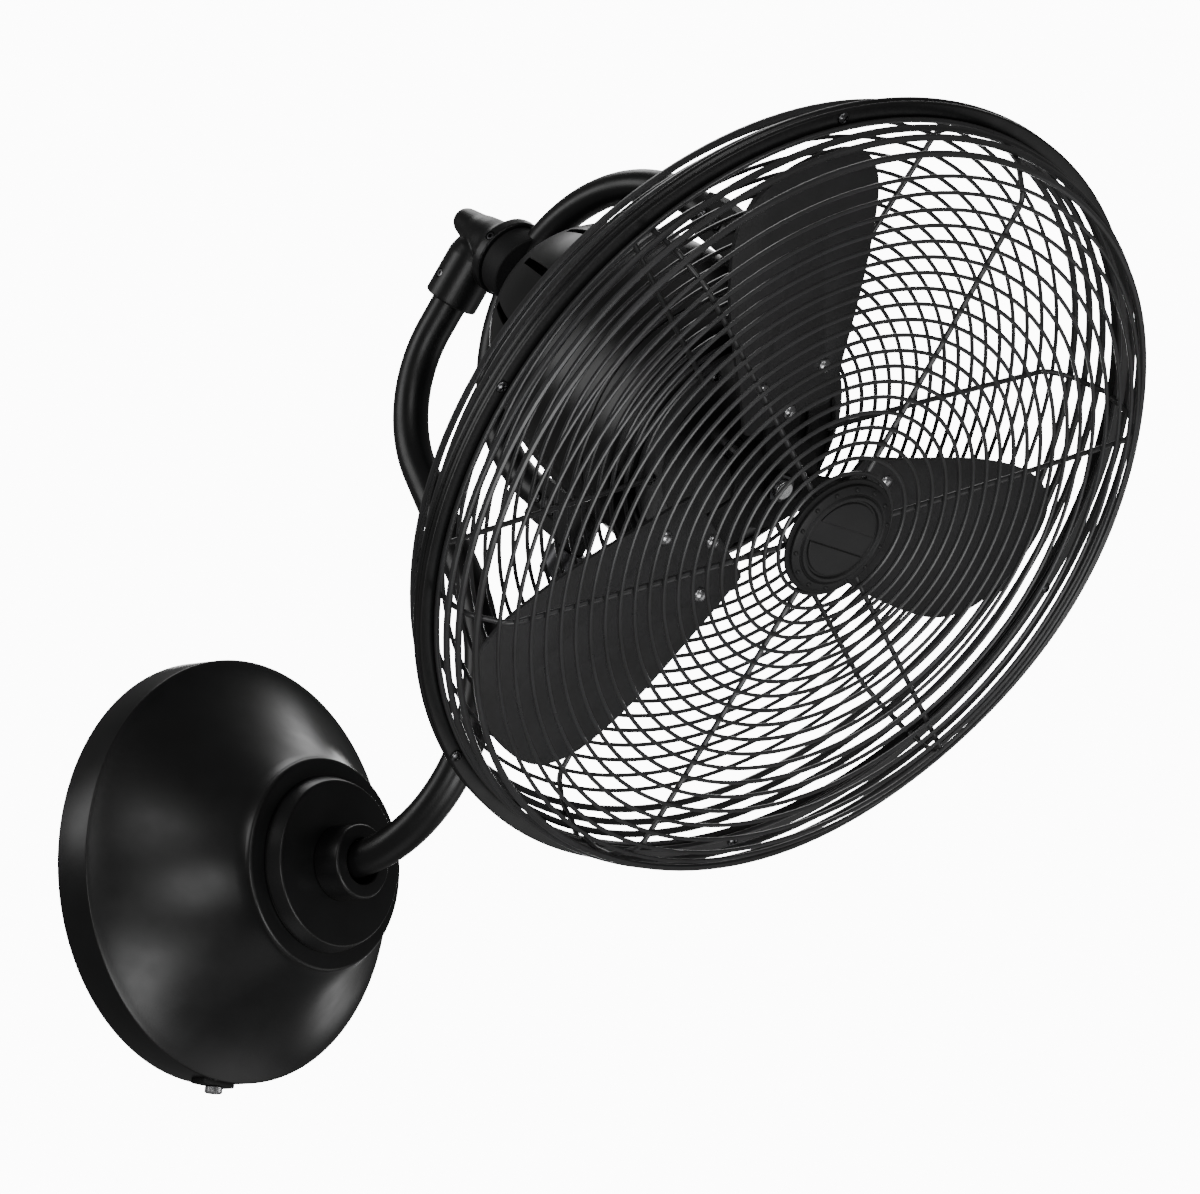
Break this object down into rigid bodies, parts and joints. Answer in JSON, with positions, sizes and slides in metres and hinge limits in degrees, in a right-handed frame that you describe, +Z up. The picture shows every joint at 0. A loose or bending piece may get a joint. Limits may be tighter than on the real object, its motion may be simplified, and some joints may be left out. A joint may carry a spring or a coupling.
{
  "type": "wall mounted fan",
  "caption": "Wall fan with a wire-caged three-blade head on a trunnion yoke, carried by an S-bent tube arm from a round bell-shaped canopy; the head swivels, rolls and tilts.",
  "frame": {"origin": "centre of the canopy's back on the wall plane, which is the wall bracket's back face", "axes": "+Z up along the wall, +Y into the wall, so the fan stands out towards -Y; +X to the right of a person who faces the wall"},
  "size_m": [0.481, 0.5881, 0.5244],
  "materials": {
    "satin_black_paint": "satin black powder coat on steel and cast parts, with a fine even grain",
    "matte_black_paint": "matte black paint, duller than the coat round it",
    "wire_coating": "semi-gloss black dip coat on welded steel wire",
    "blade_plastic": "matte black moulded plastic",
    "badge_plastic": "satin black plastic badge with a raised rim and bare raised panels",
    "bright_steel": "bright zinc-plated steel",
    "dark_steel": "dark zinc-plated steel",
    "winding_core": "laminated steel core with lacquered copper windings"
  },
  "bodies": {
    "mount": {"wall_bracket": "dark_steel", "canopy_shell": "satin_black_paint", "mounting_flange": "satin_black_paint", "arm_collar": "satin_black_paint", "arm_lock_nut": "bright_steel", "canopy_thumb_screw": "bright_steel", "arm_tube": "satin_black_paint"},
    "tee": {"tee_casting": "satin_black_paint", "arm_set_screw": "bright_steel", "yoke_set_screw": "bright_steel"},
    "yoke": {"yoke_hub": "matte_black_paint", "yoke_tube": "satin_black_paint", "upper_yoke_end": "satin_black_paint", "lower_yoke_end": "satin_black_paint", "upper_yoke_screw_1": "bright_steel", "upper_yoke_screw_2": "bright_steel", "lower_yoke_screw_1": "bright_steel", "lower_yoke_screw_2": "bright_steel", "upper_pivot_bolt": "dark_steel", "lower_pivot_bolt": "dark_steel"},
    "head": {"motor_housing": "satin_black_paint", "motor_cover": "satin_black_paint", "stator": "winding_core", "rear_bearing": "bright_steel", "front_bearing": "bright_steel", "rear_grille": "wire_coating", "guard_ring": "satin_black_paint", "front_grille": "wire_coating", "badge": "badge_plastic", "guard_screw_1": "bright_steel", "guard_screw_2": "bright_steel", "guard_screw_3": "bright_steel", "guard_screw_4": "bright_steel", "guard_screw_5": "bright_steel", "guard_screw_6": "bright_steel", "grille_screw_1": "bright_steel", "grille_screw_2": "bright_steel", "grille_screw_3": "bright_steel", "grille_screw_4": "bright_steel", "grille_screw_5": "bright_steel"},
    "rotor": {"motor_shaft": "bright_steel", "motor_rotor": "dark_steel", "blade_spider": "matte_black_paint", "hub_nut": "bright_steel", "blade_1": "blade_plastic", "blade_2": "blade_plastic", "blade_3": "blade_plastic", "blade_1_screw_1": "bright_steel", "blade_1_screw_2": "bright_steel", "blade_1_screw_3": "bright_steel", "blade_2_screw_1": "bright_steel", "blade_2_screw_2": "bright_steel", "blade_2_screw_3": "bright_steel", "blade_3_screw_1": "bright_steel", "blade_3_screw_2": "bright_steel", "blade_3_screw_3": "bright_steel"}
  },
  "joints": [
    {"name": "swivel", "type": "hinge", "parent": "mount", "child": "tee", "pos_m": [0, -0.18369, 0.36655], "axis": [0, -0.5835, 0.8121], "range_deg": [-60, 60]},
    {"name": "roll", "type": "hinge", "parent": "tee", "child": "yoke", "pos_m": [0, -0.18369, 0.36655], "axis": [0, -0.8121, -0.5835], "range_deg": [0, 90]},
    {"name": "tilt", "type": "hinge", "parent": "yoke", "child": "head", "pos_m": [0, -0.3323, 0.2598], "axis": [0, -0.5835, 0.8121], "range_deg": [-10, 35]},
    {"name": "spin", "type": "hinge", "parent": "head", "child": "rotor", "pos_m": [0, -0.433, 0.1874], "axis": [0, -0.8121, -0.5835], "continuous": true}
  ]
}
